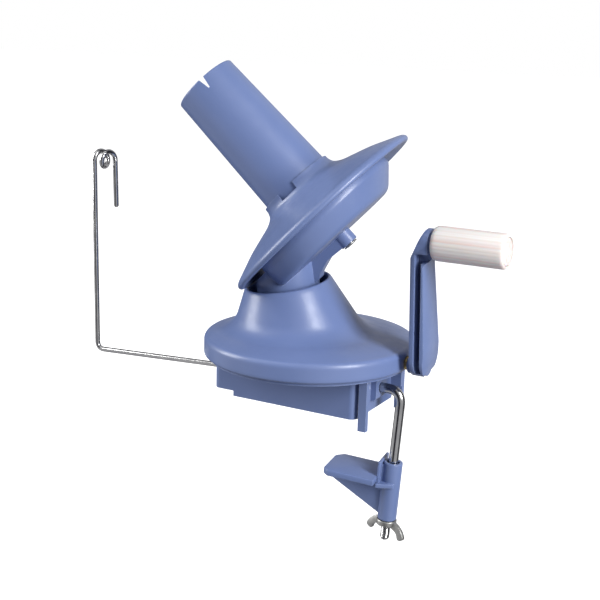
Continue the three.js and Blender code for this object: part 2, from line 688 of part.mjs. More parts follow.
function spoolAxle() {
  const shape = lathe([
    [0, AXLE_BOTTOM], [AXLE_RADIUS - 0.6, AXLE_BOTTOM], [AXLE_RADIUS, AXLE_BOTTOM + 0.6],
    [AXLE_RADIUS, AXLE_TOP - 0.6], [AXLE_RADIUS - 0.6, AXLE_TOP], [0, AXLE_TOP],
  ], MEDIUM);
  return piece("spool_axle", shape, metal(STEEL, 0.25));
}

function axleClip(name, bottom) {
  return piece(name, ring(4.2, AXLE_RADIUS + 0.1, bottom, bottom + 0.8, MEDIUM), metal(ZINC, 0.4));
}

function spoolWasher(name, bottom) {
  return piece(name, ring(5.6, AXLE_RADIUS + FIT, bottom, bottom + 0.9, MEDIUM), metal(STEEL, 0.35));
}

// ---------------------------------------------------------------- spool

function spoolFlange() {
  const collar = TUBE_BASE_RADIUS + FIT + 0.2;
  const trumpet = lathe([
    [collar, 15], [collar, COLLAR_TOP], [collar + 1.1, COLLAR_TOP], [collar + 1.4, 19.4], [23.6, 16.6],
    [27.6, 14.3], [34, 12.1], [43.5, 9], [52, 5.5], [58.4, 2.6], [FLANGE_RADIUS, 0.9], [59.6, -0.6],
    [58.2, -0.7], [50.8, 2.9], [42.5, 6.4], [33.4, 9.4], [26.6, 11.4], [6, 11.4], [6, -9.4],
    [AXLE_RADIUS + FIT, -9.4], [AXLE_RADIUS + FIT, 27], [6, 27], [6, 15], [collar, 15],
  ], FINE);
  const gap = block(collar - 3, collar + 9, -COLLAR_GAP_HALF, COLLAR_GAP_HALF, COLLAR_TOP - 4, TUBE_TOP);
  const turnedGap = place(gap, new THREE.Matrix4().makeRotationZ(COLLAR_GAP_AROUND));
  return piece("spool_flange", trumpet.subtract(turnedGap), plastic(BLUE));
}

function spoolTube() {
  const foot = 15 + FIT;
  const lip = TUBE_TOP;
  const shape = lathe([
    [TUBE_BASE_RADIUS - 2.2, foot], [TUBE_BASE_RADIUS, foot], [TUBE_BASE_RADIUS, COLLAR_TOP],
    [TUBE_TOP_RADIUS, lip - 1.5], [TUBE_TOP_RADIUS - 0.5, lip - 0.3], [TUBE_TOP_RADIUS - 1.2, lip],
    [TUBE_TOP_RADIUS - 2.2, lip - 1], [TUBE_BASE_RADIUS - 2.2, foot],
  ], FINE);
  const notch = outline([
    [-1.9, lip + 1], [-1.2, lip - 0.8], [-0.2, lip - 6.5], [0.4, lip - 6.5], [1.6, lip + 1],
  ]);
  const slit = place(sideways(notch, 0, 40), new THREE.Matrix4().makeRotationZ(NOTCH_AROUND));
  return piece("spool_tube", shape.subtract(slit), plastic(BLUE));
}

// ---------------------------------------------------------------- clamp

function bentPath(points, bendRadius) {
  const path = new THREE.CurvePath();
  let start = points[0];
  for (let i = 1; i < points.length - 1; i += 1) {
    const corner = points[i];
    const before = corner.clone().sub(points[i - 1]).normalize().multiplyScalar(bendRadius);
    const after = points[i + 1].clone().sub(corner).normalize().multiplyScalar(bendRadius);
    const bendStart = corner.clone().sub(before);
    const bendEnd = corner.clone().add(after);
    path.add(new THREE.LineCurve3(start, bendStart));
    path.add(new THREE.QuadraticBezierCurve3(bendStart, corner, bendEnd));
    start = bendEnd;
  }
  path.add(new THREE.LineCurve3(start, points[points.length - 1]));
  return path;
}

function roundBar(path, radius, steps, sides) {
  const section = new THREE.Shape();
  section.absarc(0, 0, radius, 0, TURN);
  const options = { extrudePath: path, steps, bevelEnabled: false, curveSegments: sides };
  return solid(new THREE.ExtrudeGeometry(section, options));
}

function clampRod() {
  const down = new THREE.Vector3(-Math.sin(ROD_LEAN), 0, -Math.cos(ROD_LEAN)).multiplyScalar(ROD_DROP);
  const corner = new THREE.Vector3(ROD_BEND_X, 0, ROD_AXIS_Z);
  const start = new THREE.Vector3(BOX_RIGHT - WALL - 5, 0, ROD_AXIS_Z);
  const path = bentPath([start, corner, corner.clone().add(down)], ROD_BEND_RADIUS);
  return piece("clamp_rod", roundBar(path, ROD_RADIUS, 36, 6), metal(STEEL, 0.25));
}

function rodClip() {
  const shape = alongX(ring(4.8, ROD_RADIUS + 0.1, 0, 1, MEDIUM));
  const mesh = piece("rod_clip", shape, metal(ZINC, 0.4));
  mesh.position.set(BOX_RIGHT - WALL - 1 - FIT - 1, 0, ROD_AXIS_Z);
  return mesh;
}

const JAW_RADIUS = 5.2;
const JAW_BORE = 3.6;
const JAW_PLATE_TOP = -48.6;
const JAW_PLATE_THICK = 3.6;

function jaw() {
  const barrel = disc(JAW_RADIUS, -JAW_BOTTOM, -JAW_TOP, MEDIUM);
  const plateOutline = new THREE.Shape();
  plateOutline.moveTo(-6.5, -13.5);
  plateOutline.lineTo(-6.5, 13.5);
  plateOutline.lineTo(-32, 13.5);
  plateOutline.lineTo(-36, 9);
  plateOutline.lineTo(-36, -10.5);
  plateOutline.lineTo(-33, -13.5);
  plateOutline.closePath();
  const plate = upright(plateOutline, JAW_PLATE_TOP - JAW_PLATE_THICK, JAW_PLATE_TOP);
  const webTop = JAW_PLATE_TOP - JAW_PLATE_THICK + 0.3;
  const webOutline = outline([[-33.5, webTop], [-33.5, webTop - 5.7], [-4, -JAW_BOTTOM + 2], [0, webTop]]);
  const web = sideways(webOutline, -1.6, 1.6);
  const fence = upright(roundedRectangle(-6.6, -5.2, -7, 9, 0.6), -JAW_BOTTOM + 22, -JAW_TOP + 1);
  const shelfOutline = outline([[-6.5, -9.5], [3, -5.6], [3, 5.6], [-6.5, 9.5]]);
  const shelf = upright(shelfOutline, JAW_PLATE_TOP - 5.8, JAW_PLATE_TOP - 3.4);
  const neck = block(-6.2, -3, -3.4, 3.4, -JAW_BOTTOM + 17, -JAW_TOP - 1.5);
  const bore = disc(JAW_BORE, -100, -JAW_TOP + 10, MEDIUM);
  const mesh = piece("jaw", cut(join(barrel, plate, web, fence, shelf, neck), bore), plastic(BLUE));
  mesh.rotation.z = JAW_TURN;
  return mesh;
}

function wingNut() {
  const top = -JAW_BOTTOM - FIT;
  const wing = new THREE.Shape();
  wing.moveTo(4.5, top - 0.1);
  wing.quadraticCurveTo(10.4, top - 0.6, 13, top - 7);
  wing.lineTo(12.6, top - 7.9);
  wing.lineTo(9.3, top - 9);
  wing.quadraticCurveTo(7.6, top - 5, 4.5, top - 4);
  wing.closePath();
  const right = sideways(wing, -1, 1, 5);
  const left = place(right, new THREE.Matrix4().makeRotationZ(Math.PI));
  const collar = disc(5.6, top - 3.2, top, MEDIUM);
  const bore = disc(ROD_RADIUS + FIT, -120, 0, MEDIUM);
  const mesh = piece("wing_nut", cut(join(collar, right, left), bore), metal(ZINC, 0.45));
  mesh.rotation.z = THREE.MathUtils.degToRad(-15);
  return mesh;
}

// ---------------------------------------------------------------- yarn guide

class Coil extends THREE.Curve {
  constructor(start, radius, pitch, turns) {
    super();
    Object.assign(this, { start, radius, pitch, turns });
  }

  getPoint(t, target = new THREE.Vector3()) {
    const around = Math.PI - t * this.turns * TURN;
    return target.set(
      this.start.x + t * this.turns * this.pitch,
      this.start.y + this.radius + this.radius * Math.cos(around),
      this.start.z + this.radius * Math.sin(around),
    );
  }
}

function yarnGuide() {
  const inside = new THREE.Vector3(BOX_LEFT + 9, 0, GUIDE_Z);
  const mouth = new THREE.Vector3(BOX_LEFT - 12, 0, GUIDE_Z);
  const corner = new THREE.Vector3(GUIDE_X + 0.6, 0, GUIDE_Z - 4.6);
  const shoulder = new THREE.Vector3(GUIDE_X, 0, GUIDE_TOP);
  const path = bentPath([inside, mouth, corner, shoulder], 4);
  const coil = new Coil(shoulder, GUIDE_COIL_RADIUS, GUIDE_COIL_PITCH, 1.5);
  const end = coil.getPoint(1);
  path.add(coil);
  path.add(new THREE.LineCurve3(end, end.clone().add(new THREE.Vector3(0.6, 0, -29))));
  return piece("yarn_guide", roundBar(path, WIRE_RADIUS, 140, 4), metal(STEEL, 0.2));
}

function guideClip() {
  const mesh = piece("guide_clip", alongX(ring(3.6, WIRE_RADIUS + 0.1, 0, 0.8)), metal(ZINC, 0.4));
  mesh.position.set(BOX_LEFT + 8 + FIT, 0, GUIDE_Z);
  return mesh;
}

// ---------------------------------------------------------------- assembly

model.add(topCover(), lowerCase());
addCaseScrews();
model.add(
  bushing("outer_bushing", 52.6, 7.2),
  bushing("inner_bushing", BEARING_X - 1.5, 8),
  postBracket(),
);
addBracketScrews();
headFrame.add(centrePost(), thrustWasher(), sunGear(), sunGearClip(), headPinion());
model.add(
  crankShaft(),
  crankGear(),
  shaftClip("inner_shaft_clip", 40.5),
  shaftClip("outer_shaft_clip", 50.4),
);
crankFrame.add(crankArm(), gripAxle(), gripClip(), grip(), gripEndCap());
turnedHead.add(headCarrier());
spoolFrame.add(
  spoolAxle(),
  axleClip("lower_axle_clip", -22),
  axleClip("upper_axle_clip", 28.6),
  spoolWasher("lower_spool_washer", -10.8),
  spoolWasher("upper_spool_washer", 27.3),
);
spoolFrame.add(spoolFlange(), spoolTube(), spoolGear());
model.add(clampRod(), rodClip());
clampFrame.add(jaw(), wingNut());
model.add(yarnGuide(), guideClip());

export default model;
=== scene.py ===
"""A hand-cranked yarn ball winder: smooth shells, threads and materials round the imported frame.

Shapes are written in millimetres, in the frame of the joint that they turn on, and become metres
when their mesh is made.
"""

import json
import math

import bmesh
import bpy
from mathutils import Matrix, Vector


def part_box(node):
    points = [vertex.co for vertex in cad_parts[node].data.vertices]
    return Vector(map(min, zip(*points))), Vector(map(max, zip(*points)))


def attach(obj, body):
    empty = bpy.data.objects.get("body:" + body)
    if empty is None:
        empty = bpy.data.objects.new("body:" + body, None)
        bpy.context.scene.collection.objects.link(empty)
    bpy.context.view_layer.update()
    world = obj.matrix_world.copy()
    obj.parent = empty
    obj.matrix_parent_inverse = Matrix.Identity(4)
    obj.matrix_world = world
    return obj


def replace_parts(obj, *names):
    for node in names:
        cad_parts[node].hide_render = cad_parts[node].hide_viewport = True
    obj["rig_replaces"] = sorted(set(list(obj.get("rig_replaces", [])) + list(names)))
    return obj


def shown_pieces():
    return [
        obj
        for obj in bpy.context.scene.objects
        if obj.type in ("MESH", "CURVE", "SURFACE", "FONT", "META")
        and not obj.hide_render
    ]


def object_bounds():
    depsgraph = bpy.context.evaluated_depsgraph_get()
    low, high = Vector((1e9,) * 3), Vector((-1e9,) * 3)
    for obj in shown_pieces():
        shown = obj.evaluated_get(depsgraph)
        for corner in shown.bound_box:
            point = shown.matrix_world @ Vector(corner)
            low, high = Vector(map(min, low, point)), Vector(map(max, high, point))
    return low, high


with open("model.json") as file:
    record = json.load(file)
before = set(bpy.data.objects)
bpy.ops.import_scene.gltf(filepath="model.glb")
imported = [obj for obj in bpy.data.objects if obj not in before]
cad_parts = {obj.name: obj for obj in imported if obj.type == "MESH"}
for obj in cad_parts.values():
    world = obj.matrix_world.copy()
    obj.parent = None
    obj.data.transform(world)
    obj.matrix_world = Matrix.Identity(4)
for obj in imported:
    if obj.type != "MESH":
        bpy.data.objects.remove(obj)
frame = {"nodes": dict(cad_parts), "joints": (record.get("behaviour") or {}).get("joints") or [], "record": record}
CAD_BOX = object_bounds()

MM = 0.001
TURN = math.tau
Z_TO_X = Matrix.Rotation(math.pi / 2, 4, "Y")
FIT = 0.3
WALL = 2.4
BEVEL_ANGLE = 38
SHARP_ANGLE = 42
POINT_GAP = 1e-7
WELD_GAP = 2e-6

NODES = frame["nodes"]
JOINTS = {joint["name"]: joint for joint in frame["joints"]}


# ---------------------------------------------------------------- frames


def joint_axis(name):
    """The direction that a joint turns about or slides along."""
    return Vector(JOINTS[name]["axis"]).normalized()


def joint_point(name):
    """A point on a joint's axis, in millimetres."""
    return Vector(JOINTS[name]["pos_m"]) / MM


def frame_at(origin, z_axis, y_axis):
    """A frame in millimetres with the given Z, its Y as near as it can be to the given one."""
    x_axis = y_axis.cross(z_axis).normalized()
    turned = Matrix((x_axis, z_axis.cross(x_axis), z_axis)).transposed().to_4x4()
    turned.translation = origin
    return turned


def spun(place, degrees):
    """A frame turned about its own Z."""
    return place @ Matrix.Rotation(math.radians(degrees), 4, "Z")


HEAD_SIDE = joint_axis("spool_spin").cross(joint_axis("head_spin")).normalized()
HEAD = frame_at(joint_point("head_spin"), joint_axis("head_spin"), HEAD_SIDE)
SPOOL = frame_at(joint_point("spool_spin"), joint_axis("spool_spin"), HEAD_SIDE)

CRANK_POINT = joint_point("crank_spin")
CRANK_ARM = joint_point("grip_spin") - CRANK_POINT
CRANK_ARM.x = 0
CRANK_RADIUS = CRANK_ARM.length
CRANK = frame_at(CRANK_POINT, CRANK_ARM.normalized(), CRANK_ARM.cross(Vector((1, 0, 0))).normalized())
SHAFT = CRANK @ Z_TO_X
GRIP = CRANK @ Matrix.Translation((0, 0, CRANK_RADIUS)) @ Z_TO_X

JAW_TURN = 8
NUT_TURN = -15
CLAMP = frame_at(joint_point("wing_nut_turn"), joint_axis("jaw_slide"), Vector((0, 1, 0)))
JAW = spun(CLAMP, JAW_TURN)
NUT = spun(CLAMP, NUT_TURN)


# ---------------------------------------------------------------- meshes


def add_object(name, data):
    """A new object in the scene."""
    made = bpy.data.objects.new(name, data)
    bpy.context.scene.collection.objects.link(made)
    return made


def finish_mesh(name, vertices, faces):
    """A smooth-shaded object over points given in millimetres."""
    mesh = bpy.data.meshes.new(name)
    mesh.from_pydata([Vector(v) * MM for v in vertices], [], faces)
    work = bmesh.new()
    work.from_mesh(mesh)
    bmesh.ops.remove_doubles(work, verts=work.verts, dist=POINT_GAP)
    bmesh.ops.recalc_face_normals(work, faces=work.faces)
    work.to_mesh(mesh)
    work.free()
    mesh.shade_smooth()
    return add_object(name, mesh)


def skin(name, rows, around=True):
    """A surface over closed rows of points. The last row joins the first, or the ends are capped."""
    count = len(rows[0])
    vertices = [point for row in rows for point in row]
    faces = []
    for i in range(len(rows) if around else len(rows) - 1):
        here, there = i * count, (i + 1) % len(rows) * count
        for k in range(count):
            m = (k + 1) % count
            faces.append((here + k, here + m, there + m, there + k))
    if not around:
        faces.append(tuple(range(count)))
        faces.append(tuple(range(len(vertices) - count, len(vertices))))
    return finish_mesh(name, vertices, faces)


def curve_point(start, corner, end, t):
    """The point at t on a curve from start to end that bends toward a corner."""
    return start * (1 - t) ** 2 + corner * 2 * t * (1 - t) + end * t * t


def filleted(corners, steps=6):
    """A closed line through corners (x, y, radius), each turned into a curve of about that radius."""
    line = []
    count = len(corners)
    for i, (x, y, radius) in enumerate(corners):
        here = Vector((x, y))
        if radius == 0:
            line.append(here)
            continue
        before = Vector(corners[i - 1][:2]) - here
        after = Vector(corners[(i + 1) % count][:2]) - here
        half = before.angle(after) / 2
        reach = min(radius / math.tan(half), 0.49 * before.length, 0.49 * after.length)
        start = here + before.normalized() * reach
        end = here + after.normalized() * reach
        line += [curve_point(start, here, end, k / steps) for k in range(steps + 1)]
    return line


def flowing(points, steps=6):
    """A smooth open line through all the points."""
    ends = [points[0], *points, points[-1]]
    line = []
    for i in range(1, len(points)):
        a, b, c, d = (Vector(p) for p in ends[i - 1 : i + 3])
        for k in range(steps):
            t = k / steps
            pull = (c - a) * t + (2 * a - 5 * b + 4 * c - d) * t**2 + (3 * b - a - 3 * c + d) * t**3
            line.append(b + pull / 2)
    line.append(Vector(points[-1]))
    return line


def lathe(name, line, place, segments=128, shift=lambda z: 0):
    """A closed line of (radius, height) turned about Z. shift moves each height sideways, along X."""
    rows = []
    for i in range(segments):
        around = TURN * i / segments
        across = Vector((math.cos(around), math.sin(around)))
        rows.append([place @ Vector((p[0] * across.x + shift(p[1]), p[0] * across.y, p[1])) for p in line])
    return skin(name, rows)


def rod_line(radius, bottom, top, edge=0.0):
    """The line of a plain round rod, for lathe."""
    return filleted([(0, bottom, 0), (radius, bottom, edge), (radius, top, edge), (0, top, 0)], 3)


def prism(name, line, low, high, place, toward="Z"):
    """A closed outline given depth. It is drawn in XY, or toward Y in XZ, or toward X in YZ."""
    lift = {
        "X": lambda p, d: Vector((d, p[0], p[1])),
        "Y": lambda p, d: Vector((p[0], d, p[1])),
        "Z": lambda p, d: Vector((p[0], p[1], d)),
    }[toward]
    return skin(name, [[place @ lift(p, depth) for p in line] for depth in (low, high)], around=False)


def box_line(x0, x1, y0, y1, radius=0.0):
    """A rectangle's outline, with corners of the given radius."""
    return filleted([(x0, y0, radius), (x1, y0, radius), (x1, y1, radius), (x0, y1, radius)])


def turned_point(radius, around, z):
    """The point at a radius and an angle about Z."""
    return Vector((radius * math.cos(around), radius * math.sin(around), z))


def sweep(name, path, radii, sides):
    """A round bar along a path, with one radius for each point of it."""
    rows = []
    normal = None
    for i, point in enumerate(path):
        ahead = (path[min(i + 1, len(path) - 1)] - path[max(i - 1, 0)]).normalized()
        guess = normal if normal is not None else ahead.orthogonal()
        normal = (guess - ahead * guess.dot(ahead)).normalized()
        other = ahead.cross(normal)
        ring = []
        for k in range(sides):
            around = TURN * k / sides
            ring.append(point + (normal * math.cos(around) + other * math.sin(around)) * radii[i])
        rows.append(ring)
    return skin(name, rows, around=False)


def freeze(piece):
    """Applies a piece's modifiers to its mesh."""
    bpy.context.view_layer.update()
    seen = piece.evaluated_get(bpy.context.evaluated_depsgraph_get())
    mesh = bpy.data.meshes.new_from_object(seen)
    piece.modifiers.clear()
    piece.data = mesh
    return piece


def combine(piece, operation, *tools):
    """Joins the tools to a piece, cuts them out of it, or keeps what they share."""
    for tool in tools:
        change = piece.modifiers.new("combine", "BOOLEAN")
        change.operation = operation
        change.solver = "EXACT"
        change.object = tool
        freeze(piece)
        bpy.data.objects.remove(tool)
    return piece


def soften(piece, width, segments=3, angle=BEVEL_ANGLE):
    """Rounds a piece's sharp edges and keeps its flat faces flat."""
    work = bmesh.new()
    work.from_mesh(piece.data)
    bmesh.ops.remove_doubles(work, verts=work.verts, dist=WELD_GAP)
    bmesh.ops.dissolve_limit(work, angle_limit=math.radians(0.6), verts=work.verts, edges=work.edges)
    work.to_mesh(piece.data)
    work.free()
    add_bevel(piece, width, segments, angle)
    freeze(piece)
    piece.data.shade_smooth()
    return sharpen(piece)


def add_bevel(piece, width, segments, angle):
    """A modifier that rounds the edges sharper than an angle in degrees."""
    bevel = piece.modifiers.new("rounded edges", "BEVEL")
    bevel.width = width * MM
    bevel.segments = segments
    bevel.limit_method = "ANGLE"
    bevel.angle_limit = math.radians(angle)
    bevel.harden_normals = True
    bevel.use_clamp_overlap = True


def sharpen(piece, angle=SHARP_ANGLE):
    """Marks the edges that stay sharp in a smooth-shaded mesh."""
    work = bmesh.new()
    work.from_mesh(piece.data)
    for edge in work.edges:
        edge.smooth = edge.calc_face_angle(0) < math.radians(angle)
    work.to_mesh(piece.data)
    work.free()
    return piece


def dress(piece, slot, body, *replaced):
    """Gives a piece its material, its body and the CAD node that it stands for."""
    piece.data.materials.clear()
    piece.data.materials.append(MATERIALS[slot])
    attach(piece, body)
    if replaced:
        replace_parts(piece, *replaced)
    return piece


# ---------------------------------------------------------------- materials


def blank_material(name):
    """A new material, its node tree and its shader."""
    material = bpy.data.materials.new(name)
    material.use_nodes = True
    tree = material.node_tree
    return material, tree, tree.nodes["Principled BSDF"]


def add_node(tree, kind, **values):
    """A new node with its inputs or its settings set by name."""
    made = tree.nodes.new(kind)
    for key, value in values.items():
        if key in made.inputs:
            made.inputs[key].default_value = value
        else:
            setattr(made, key, value)
    return made


def place_noise(tree, scale, detail=3.0, stretch=(1, 1, 1)):
    """Noise in the piece's own space, stretched along an axis where the surface is drawn or ribbed."""
    coordinates = add_node(tree, "ShaderNodeTexCoord")
    mapping = add_node(tree, "ShaderNodeMapping", Scale=stretch)
    noise = add_node(tree, "ShaderNodeTexNoise", Scale=scale, Detail=detail)
    tree.links.new(coordinates.outputs["Object"], mapping.inputs["Vector"])
    tree.links.new(mapping.outputs["Vector"], noise.inputs["Vector"])
    return noise.outputs["Fac"]


def ramp(tree, source, low, high):
    """A colour ramp between two (position, colour) stops."""
    made = add_node(tree, "ShaderNodeValToRGB")
    for stop, (position, colour) in zip(made.color_ramp.elements, (low, high)):
        stop.position = position
        stop.color = (*colour, 1)
    tree.links.new(source, made.inputs["Fac"])
    return made.outputs["Color"]


def blend_colours(tree, factor, first, second):
    """The first colour where the factor is 0 and the second where it is 1."""
    made = add_node(tree, "ShaderNodeMix", data_type="RGBA")
    tree.links.new(factor, made.inputs[0])
    tree.links.new(first, made.inputs[6])
    tree.links.new(second, made.inputs[7])
    return made.outputs[2]


def spread(tree, source, low, high):
    """A value that runs from low to high as the source runs over its middle range."""
    made = add_node(tree, "ShaderNodeMapRange")
    for name, value in (("From Min", 0.3), ("From Max", 0.7), ("To Min", low), ("To Max", high)):
        made.inputs[name].default_value = value
    tree.links.new(source, made.inputs["Value"])
    return made.outputs["Result"]


def bump(tree, shader, source, distance, strength):
    """Makes the source stand out as relief on the surface."""
    made = add_node(tree, "ShaderNodeBump", Distance=distance, Strength=strength)
    tree.links.new(source, made.inputs["Height"])
    tree.links.new(made.outputs["Normal"], shader.inputs["Normal"])


def worn_and_highlit_edges(tree, reach=0.0005):
    """White within a short reach of a sharp edge, broken up by noise: partly rubbed wear, partly a painted
    highlight where the edges catch the light.
    """
    geometry = add_node(tree, "ShaderNodeNewGeometry")
    rounded = add_node(tree, "ShaderNodeBevel", Radius=reach)
    turned = add_node(tree, "ShaderNodeVectorMath", operation="DOT_PRODUCT")
    tree.links.new(geometry.outputs["Normal"], turned.inputs[0])
    tree.links.new(rounded.outputs["Normal"], turned.inputs[1])
    edges = ramp(tree, turned.outputs["Value"], (0.86, (1, 1, 1)), (0.985, (0, 0, 0)))
    patches = ramp(tree, place_noise(tree, 260, 4), (0.38, (0.25,) * 3), (0.62, (1,) * 3))
    both = add_node(tree, "ShaderNodeMath", operation="MULTIPLY")
    tree.links.new(edges, both.inputs[0])
    tree.links.new(patches, both.inputs[1])
    return both.outputs["Value"]


def moulded(name, dark, light, edge_wear_and_highlight, roughness, grain=0.5):
    """Moulded plastic: slow colour variation, a fine grain, and paler edges that are partly rubbed wear and partly
    a painted edge highlight.
    """
    material, tree, shader = blank_material(name)
    body = ramp(tree, place_noise(tree, 28, 4), (0.35, dark), (0.65, light))
    wear_and_highlight_colour = add_node(tree, "ShaderNodeRGB")
    wear_and_highlight_colour.outputs[0].default_value = (*edge_wear_and_highlight, 1)
    # Edges are mixed toward the pale colour: rubbed wear and a painted edge highlight.
    colour = blend_colours(tree, worn_and_highlit_edges(tree), body, wear_and_highlight_colour.outputs[0])
    tree.links.new(colour, shader.inputs["Base Color"])
    rough = spread(tree, place_noise(tree, 190, 5), roughness - 0.05, roughness + 0.05)
    tree.links.new(rough, shader.inputs["Roughness"])
    bump(tree, shader, place_noise(tree, 2600, 2), 0.00004, grain)
    return material


def ribbed_ivory(name):
    """Ivory plastic drawn along X, with faint rose and beige streaks."""
    material, tree, shader = blank_material(name)
    streaks = place_noise(tree, 420, 2, (0.01, 1, 1))
    base = ramp(tree, streaks, (0.40, (0.74, 0.56, 0.53)), (0.56, (0.80, 0.77, 0.75)))
    fine_streaks = place_noise(tree, 900, 1, (0.004, 1, 1))
    tint = ramp(tree, fine_streaks, (0.4, (0.76, 0.68, 0.62)), (0.5, (0.81, 0.79, 0.77)))
    colour = blend_colours(tree, place_noise(tree, 150, 2, (0.05, 1, 1)), base, tint)
    tree.links.new(colour, shader.inputs["Base Color"])
    rough = spread(tree, place_noise(tree, 260, 3, (0.1, 1, 1)), 0.3, 0.42)
    tree.links.new(rough, shader.inputs["Roughness"])
    bump(tree, shader, place_noise(tree, 1500, 3, (0.03, 1, 1)), 0.00008, 0.4)
    shader.inputs["Subsurface Weight"].default_value = 0.12
    shader.inputs["Subsurface Scale"].default_value = 0.002
    return material


def drawn_metal(name, dark, light, roughness, stretch, scratch=0.35):
    """Bright bar or plate with fine drawing lines along it and small marks."""
    material, tree, shader = blank_material(name)
    lines = place_noise(tree, 1400, 3, stretch)
    colour = ramp(tree, place_noise(tree, 120, 4, stretch), (0.35, dark), (0.65, light))
    tree.links.new(colour, shader.inputs["Base Color"])
    rough = spread(tree, place_noise(tree, 300, 5), roughness - 0.06, roughness + 0.08)
    tree.links.new(rough, shader.inputs["Roughness"])
    bump(tree, shader, lines, 0.00003, scratch)
    shader.inputs["Metallic"].default_value = 1.0
    return material


def zinc_plate(name):
    """Dull plated steel with a faint crystal mottle and darker rubbed spots."""
    material, tree, shader = blank_material(name)
    coordinates = add_node(tree, "ShaderNodeTexCoord")
    crystals = add_node(tree, "ShaderNodeTexVoronoi", Scale=900.0)
    tree.links.new(coordinates.outputs["Object"], crystals.inputs["Vector"])
    flakes = ramp(tree, crystals.outputs["Distance"], (0.0, (0.36, 0.36, 0.35)), (0.8, (0.48, 0.48, 0.46)))
    spots = ramp(tree, place_noise(tree, 240, 5), (0.3, (0.30, 0.30, 0.29)), (0.7, (0.52, 0.52, 0.50)))
    colour = blend_colours(tree, place_noise(tree, 90, 3), flakes, spots)
    tree.links.new(colour, shader.inputs["Base Color"])
    rough = spread(tree, place_noise(tree, 500, 4), 0.36, 0.52)
    tree.links.new(rough, shader.inputs["Roughness"])
    bump(tree, shader, place_noise(tree, 1600, 4), 0.00004, 0.4)
    shader.inputs["Metallic"].default_value = 0.95
    return material


ALONG_X = (0.02, 1, 1)
MATERIALS = {
    # The third colour of each moulded plastic is its paler edge: partly rubbed wear, partly a painted edge
    # highlight.
    "blue_plastic": moulded(
        "blue_plastic", (0.128, 0.178, 0.355), (0.142, 0.194, 0.378), (0.33, 0.40, 0.60), 0.33,
    ),
    "ivory_plastic": ribbed_ivory("ivory_plastic"),
    "gear_nylon": moulded(
        "gear_nylon", (0.74, 0.71, 0.62), (0.82, 0.80, 0.73), (0.9, 0.89, 0.84), 0.45, 0.3,
    ),
    "polished_steel": drawn_metal(
        "polished_steel", (0.46, 0.46, 0.465), (0.59, 0.59, 0.58), 0.16, (1, 1, 1),
    ),
    "zinc_steel": zinc_plate("zinc_steel"),
    "bushing_brass": drawn_metal(
        "bushing_brass", (0.56, 0.40, 0.14), (0.68, 0.50, 0.22), 0.3, ALONG_X,
    ),
}


# ---------------------------------------------------------------- cover and case

PLATE_Z = 25
PLATE_RADIUS = 58.5
RIM_TOP = 35.5
RIM_ROUND = 3
DOME_RISE = 3.4
SIDE_TOP = RIM_TOP - RIM_ROUND
FLAT_RADIUS = PLATE_RADIUS - RIM_ROUND
PLATE_GAP = 0.8
RING_HEIGHT = 35.6
RING_RADIUS = 24.1
NECK_SLOPE = math.radians(25)
NECK_REACH = 9.0
TOP_REACH = 11.0
NECK_STEPS = 8
BEND_STEPS = 20
TOP_STEPS = 12
RIM_STEPS = 6
SIDE_STEPS = 5
COVER_SEGMENTS = 168
SHAFT_HOLE = 3.9


def plate_top(x, y):
    """Height of the round plate's gently domed top."""
    share = min(1, math.hypot(x, y) / FLAT_RADIUS)
    return RIM_TOP + DOME_RISE * (1 - share**5)


def cover_generator(around):
    """One line of the cover's outer skin, from the neck's ring down to the plate's lower edge."""
    outward = HEAD.to_3x3() @ Vector((math.cos(around), math.sin(around), 0))
    down = HEAD.to_3x3() @ Vector((0, 0, -math.cos(NECK_SLOPE))) + outward * math.sin(NECK_SLOPE)
    ring = HEAD @ turned_point(RING_RADIUS, around, RING_HEIGHT)
    reach = 10.0
    for _ in range(12):
        foot = ring + down * reach
        reach += (foot.z - plate_top(foot.x, foot.y)) / -down.z
    compass = Vector((outward.x, outward.y, 0)).normalized()
    rim = compass * FLAT_RADIUS
    rim.z = RIM_TOP
    flat = rim - foot
    bend_start = foot - down * min(NECK_REACH, reach * 0.85)
    bend_end = foot + flat.normalized() * min(TOP_REACH, flat.length * 0.8)
    bend_end.z = plate_top(bend_end.x, bend_end.y)
    line = [ring + (bend_start - ring) * (k / NECK_STEPS) for k in range(NECK_STEPS)]
    line += [curve_point(bend_start, foot, bend_end, k / BEND_STEPS) for k in range(BEND_STEPS)]
    for k in range(TOP_STEPS):
        point = bend_end.lerp(rim, k / TOP_STEPS)
        point.z = plate_top(point.x, point.y)
        line.append(point)
    for k in range(RIM_STEPS + 1):
        turn = math.radians(90 * k / RIM_STEPS)
        point = compass * (FLAT_RADIUS + RIM_ROUND * math.sin(turn))
        point.z = SIDE_TOP + RIM_ROUND * math.cos(turn)
        line.append(point)
    for k in range(1, SIDE_STEPS + 1):
        point = compass * PLATE_RADIUS
        point.z = SIDE_TOP - (SIDE_TOP - PLATE_Z - PLATE_GAP) * k / SIDE_STEPS
        line.append(point)
    return line


def rounded_end(outer, inner, beyond, steps=5):
    """Points of a half-round edge between the two skins of a wall."""
    middle = (outer + inner) / 2
    arm = (outer - inner) / 2
    tip = beyond.normalized() * arm.length
    turns = [math.pi * k / steps for k in range(1, steps)]
    return [middle + arm * math.cos(turn) + tip * math.sin(turn) for turn in turns]


